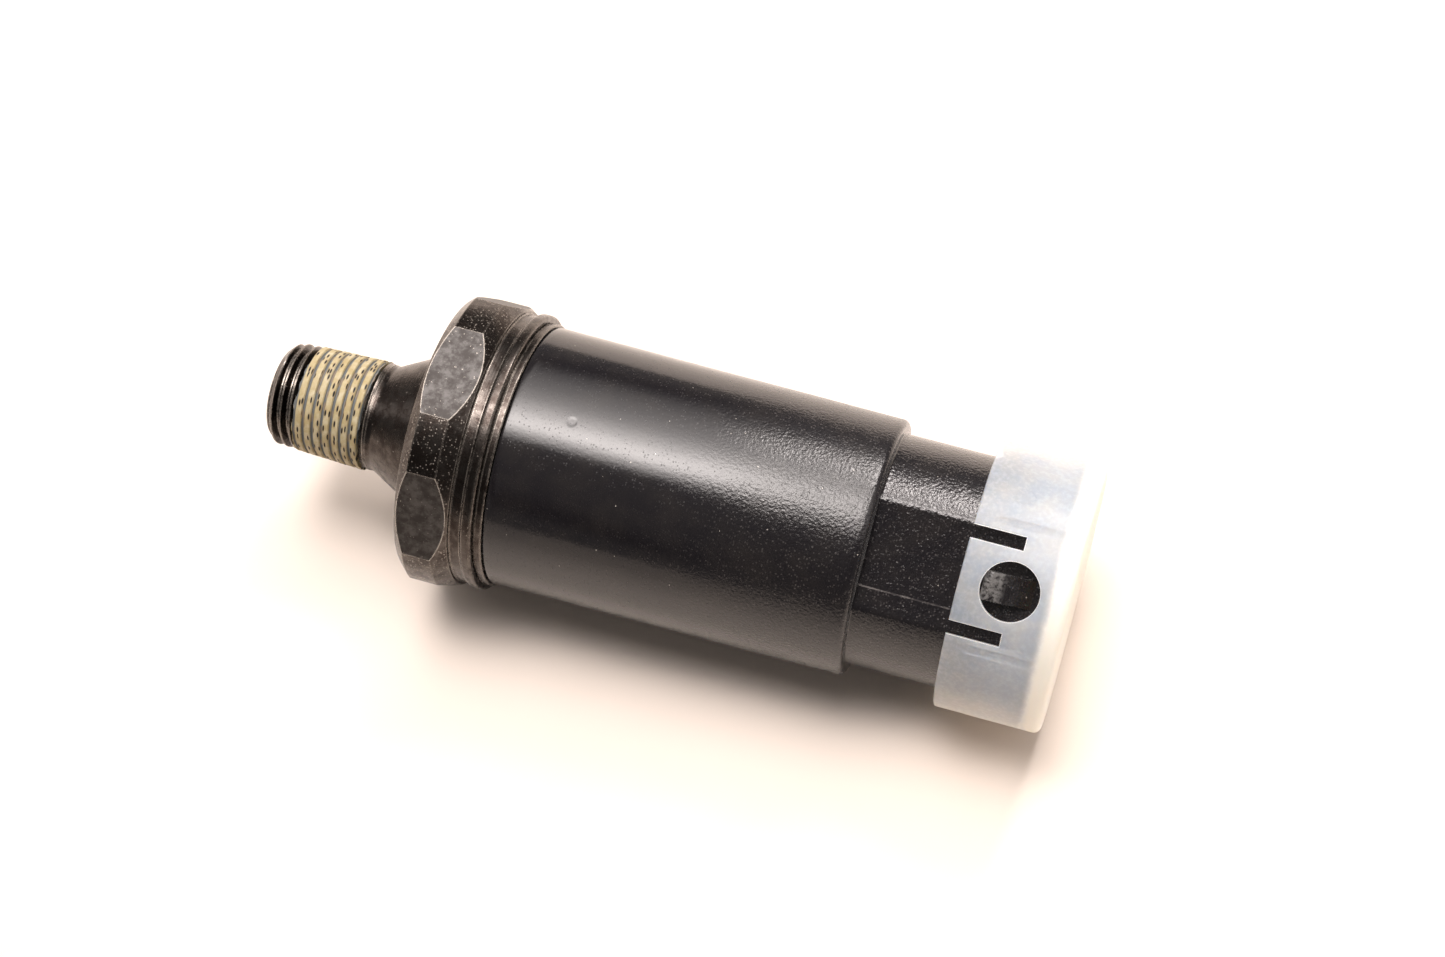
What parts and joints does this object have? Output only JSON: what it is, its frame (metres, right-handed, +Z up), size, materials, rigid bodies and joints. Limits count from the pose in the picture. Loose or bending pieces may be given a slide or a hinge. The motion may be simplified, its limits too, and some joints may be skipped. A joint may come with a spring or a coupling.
{
  "type": "oil pressure sender",
  "caption": "Screw-in oil pressure sender with a tapered thread, hexagon, crimped collar, black plug housing and a milky dust cap.",
  "frame": {"origin": "on the long axis, where the tapered thread ends at the flare", "axes": "+X along the axis from the thread towards the plug socket, +Z up with a flat of the hexagon facing down, as the sender lies at rest"},
  "size_m": [0.0779, 0.0286, 0.027],
  "materials": {
    "base_steel": "dark phosphated steel, worn at the edges",
    "sealant": "cream cured sealant",
    "black_moulding": "satin black moulding",
    "milky_moulding": "milky soft moulding",
    "gasket": "matt",
    "diaphragm_sheet": "rubber-coated cloth",
    "zinc_sheet": "zinc plated",
    "spring_steel": "bright",
    "brass_parts": "bright",
    "silver_contact": "bright",
    "white_moulding": "natural",
    "card_board": "brown laminate",
    "resistance_wire": "dull",
    "tinned_brass": "tin plated",
    "lead_cover": "red insulation"
  },
  "bodies": {
    "sender": {"hex_base": "base_steel", "port_restrictor": "brass_parts", "thread_sealant": "sealant", "seal_ring": "gasket", "diaphragm": "diaphragm_sheet", "guide_plate": "zinc_sheet", "return_spring": "spring_steel", "bracket": "zinc_sheet", "bracket_screws": "zinc_sheet", "pivot_pin": "spring_steel", "resistor_card": "card_board", "resistor_winding": "resistance_wire", "terminal_supply": "tinned_brass", "terminal_ground": "tinned_brass", "terminal_signal": "tinned_brass", "supply_leaf": "brass_parts", "ground_leaf": "brass_parts", "signal_lead": "lead_cover", "housing": "black_moulding", "dust_cap": "milky_moulding"},
    "plunger_unit": {"plunger": "brass_parts", "retaining_clip": "spring_steel"},
    "lever_unit": {"lever": "white_moulding", "wiper_leaf": "brass_parts", "wiper_contact": "silver_contact", "wiper_rivet": "brass_parts"}
  },
  "joints": [
    {"name": "plunger_slide", "type": "slide", "parent": "sender", "child": "plunger_unit", "axis": [1, 0, 0], "range_m": [0, 0.00137], "stiffness_N_per_m": 400, "springref_m": -0.003, "deforming": ["return_spring", "diaphragm"]},
    {"name": "lever_turn", "type": "hinge", "parent": "sender", "child": "lever_unit", "pos_m": [0.02635, 0, -0.00283], "axis": [0, 1, 0], "range_deg": [0, 27.84], "deforming": ["signal_lead"]}
  ],
  "couplings": [
    {"joint": "lever_turn", "follows": "plunger_slide", "rad_per_m": 353.36}
  ]
}
